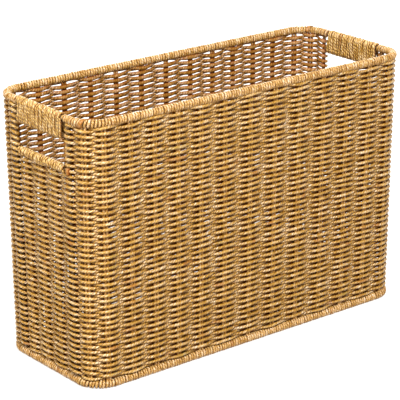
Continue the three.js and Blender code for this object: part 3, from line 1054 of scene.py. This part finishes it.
@dataclass(frozen=True)
class WovenBase:
    """The base: weft along the basket, over and under pairs of cord that cross it."""

    plan: WallPlan
    cord: PaperCord
    weft: CordMake = CordMake(across=1.75, through=1.33, sides=6, step=2.2)
    cross: CordMake = CordMake(through=1.32, sides=6, step=2.4)
    height: float = 4.65
    pitch: float = 2.78
    reach: float = 2.6
    stiffness: float = 1.25
    sidle: Pair = (0.12, 40.0)
    spread: float = 1.45
    length: float = 394.8
    width: float = 145.0
    radius: float = 23.8
    inset: float = 3.9
    edge_gap: float = 1.4
    edge_stake: float = 172.0

    def limit(self, beside: float, half: float, other_half: float) -> float:
        """How far a row goes from the middle before it meets the foot's wire.

        Args:
            beside: The row's distance from the base's middle line.
            half: Half of the base in the row's direction.
            other_half: Half of the base the other way.

        Returns:
            The straight part plus the corner circle's height over that distance.
        """
        round_part = self.radius - self.inset
        past = max(0.0, abs(beside) - (other_half - self.radius))
        return half - self.radius + math.sqrt(max(0.0, round_part ** 2 - past ** 2))

    def build(self) -> None:
        """Builds the rows and the crossing pairs, flattened over each other as in the wall."""
        stakes = np.array([-self.edge_stake, *(np.array(self.plan.long_shares) * self.plan.length / 2),
                           self.edge_stake])
        marks = np.concatenate([[2 * stakes[0] - stakes[1]], stakes, [2 * stakes[-1] - stakes[-2]]])
        rows = 2 * int((self.width / 2 - self.inset - self.edge_gap) / self.pitch) + 1
        piece = CordPiece("base_weave_cords")
        for row in range(rows):
            beside = self.pitch * (row - (rows - 1) / 2)
            far = self.limit(beside, self.length / 2, self.width / 2)
            x = np.linspace(-far, far, round(2 * far / self.weft.step))
            before = np.clip(np.searchsorted(marks, x, side="right") - 1, 0, len(marks) - 2)
            wave = np.cos(math.pi * (x - marks[before]) / (marks[before + 1] - marks[before]))
            sign = np.where((before + row) % 2 == 0, 1.0, -1.0)
            lift = sign * self.reach * np.tanh(self.stiffness * wave) / math.tanh(self.stiffness)
            y = beside + wander(piece.seeds, x + far, self.sidle)
            path = np.stack([x, y, self.height + lift], -1)
            piece.add(path, np.broadcast_to(UP, path.shape), self.weft)
        for stake in stakes:
            for place in (float(stake) - self.spread, float(stake) + self.spread):
                far = self.limit(place, self.width / 2, self.length / 2)
                y = np.linspace(-far, far, round(2 * far / self.cross.step))
                path = np.stack([np.full_like(y, place), y, np.full_like(y, self.height)], -1)
                piece.add(path, np.broadcast_to(UP, path.shape), self.cross)
        piece.finish(self.cord.material(), ["base_weave"])


@dataclass(frozen=True)
class WireFrame:
    """The steel that stays as the CAD has it: rim and foot wires, posts, grip bars and sill wires."""

    steel: LacqueredSteel

    def dress(self) -> None:
        """Gives each steel node the lacquered wire's material."""
        material = self.steel.material()
        names = ["rim_wire", "foot_wire"]
        for end in ("left", "right"):
            names += [f"{end}_post_1", f"{end}_post_2", f"{end}_grip_bar", f"{end}_sill_wire"]
        for name in names:
            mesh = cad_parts[name].data
            mesh.materials.clear()
            mesh.materials.append(material)
            LOG.info("%s: dressed", name)


@dataclass(frozen=True)
class Studio:
    """A pale floor under a white surround, with square soft lamps that face the basket's middle.

    A lamp has a name, a place and a size in metres and a power in watts.
    """

    floor_colour: str = "#B8B0A6"
    floor_half: float = 6.0
    ambient: float = 0.03
    # The camera sees the floor glow, so that it is white, but less so near the basket's shadow
    glow: float = 0.72
    shade_reach: float = 0.35
    target: Triple = (0.0, 0.0, 0.14)
    lamps: tuple[tuple[str, Triple, float, float], ...] = (
        ("front_lamp", (-0.68, -1.6, 2.1), 0.8, 97.0),
        ("end_lamp", (-1.75, -0.3, 1.8), 0.8, 39.0),
        ("back_lamp", (1.3, 1.7, 1.9), 1.2, 46.0))

    def floor(self) -> None:
        """Lays the floor, which the camera sees near white where the basket doesn't shade it."""
        corners = np.array([[-1, -1, 0], [1, -1, 0], [1, 1, 0], [-1, 1, 0]]) * self.floor_half
        mesh = bpy.data.meshes.new("floor")
        mesh.from_pydata(corners.tolist(), [], [[0, 1, 2, 3]])
        material, tree = fresh_material("matt_white_floor")
        place = add_node(tree, "TexCoord", {})["Object"]
        away = add_node(tree, "VectorMath", {0: place}, operation="LENGTH")["Value"]
        level = add_node(tree, "MapRange", {
            "Value": away, "From Min": self.shade_reach, "From Max": 3 * self.shade_reach,
            "To Min": self.glow})["Result"]
        seen = camera_rays(tree)
        strength = add_node(tree, "Math", {0: level, 1: seen}, operation="MULTIPLY")["Value"]
        glow = add_node(tree, "Emission", {"Strength": strength})["Emission"]
        matt = add_node(tree, "BsdfDiffuse", {"Color": linear(self.floor_colour)})["BSDF"]
        both = add_node(tree, "AddShader", {0: matt, 1: glow})["Shader"]
        add_node(tree, "OutputMaterial", {"Surface": both})
        mesh.materials.append(material)
        made = bpy.data.objects.new("floor", mesh)
        bpy.context.scene.collection.objects.link(made)

    def surround(self) -> None:
        """Sets the world: white to the camera and in gloss, and a soft even light."""
        world = bpy.data.worlds.new("surround")
        bpy.context.scene.world = world
        world.use_nodes = True
        tree = world.node_tree
        tree.nodes.clear()
        seen = camera_rays(tree)
        level = add_node(tree, "MapRange", {"Value": seen, "To Min": self.ambient})["Result"]
        light = add_node(tree, "Background", {"Color": (1.0, 1.0, 1.0, 1.0), "Strength": level})
        add_node(tree, "OutputWorld", {"Surface": light["Background"]})

    def build(self) -> None:
        """Builds the floor and the surround and hangs the lamps."""
        self.floor()
        self.surround()
        for name, place, size, power in self.lamps:
            light = bpy.data.lights.new(name, "AREA")
            light.size = size
            light.energy = power
            made = bpy.data.objects.new(name, light)
            made.location = place
            aim = Vector(self.target) - Vector(place)
            made.rotation_euler = aim.to_track_quat("-Z", "Y").to_euler()
            bpy.context.scene.collection.objects.link(made)


@dataclass(frozen=True)
class Viewpoint:
    """The photograph's camera, fitted to the basket's edges."""

    location: Triple = (-1.1285, -1.3991, 0.7655)
    target: Triple = (-0.0090, 0.0004, 0.1339)
    roll: float = -0.223
    lens: float = 167.28
    sensor: float = 36.0

    def build(self) -> None:
        """Makes the camera and sets it as the scene's own."""
        data = bpy.data.cameras.new("viewpoint")
        data.lens = self.lens
        data.sensor_width = self.sensor
        made = bpy.data.objects.new("viewpoint", data)
        made.location = self.location
        aim = (Vector(self.target) - Vector(self.location)).to_track_quat("-Z", "Y")
        made.rotation_mode = "QUATERNION"
        made.rotation_quaternion = aim @ Quaternion((0.0, 0.0, 1.0), math.radians(self.roll))
        bpy.context.scene.collection.objects.link(made)
        bpy.context.scene.camera = made


def main() -> None:
    """Builds the whole scene."""
    logging.basicConfig(level=logging.INFO, format="%(message)s")
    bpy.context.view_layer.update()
    bpy.context.scene.view_settings.view_transform = "Standard"
    Viewpoint().build()
    Studio().build()
    plan = WallPlan()
    WireFrame(LacqueredSteel()).dress()
    WovenWall(plan, PaperCord("twisted_paper_cord_woven")).build()
    # The stakes' cord is paler than the weft's as painted light, so that the stakes read lit where they
    # stand in the weft's shade
    Stakes(plan, PaperCord("twisted_paper_cord_stakes", deep="#A87628", honey="#D5A558")).build()
    RimAndFoot(plan, PaperCord("twisted_paper_cord_wound", honey="#CFA45C")).build()
    for end in End:
        cord = PaperCord(f"twisted_paper_cord_{end.name.lower()}_grip", honey="#DFB560", pale="#F5DEB0")
        Handle(plan, cord, end).build()
    WovenBase(plan, PaperCord("twisted_paper_cord_base")).build()


if __name__ == "__main__":
    main()
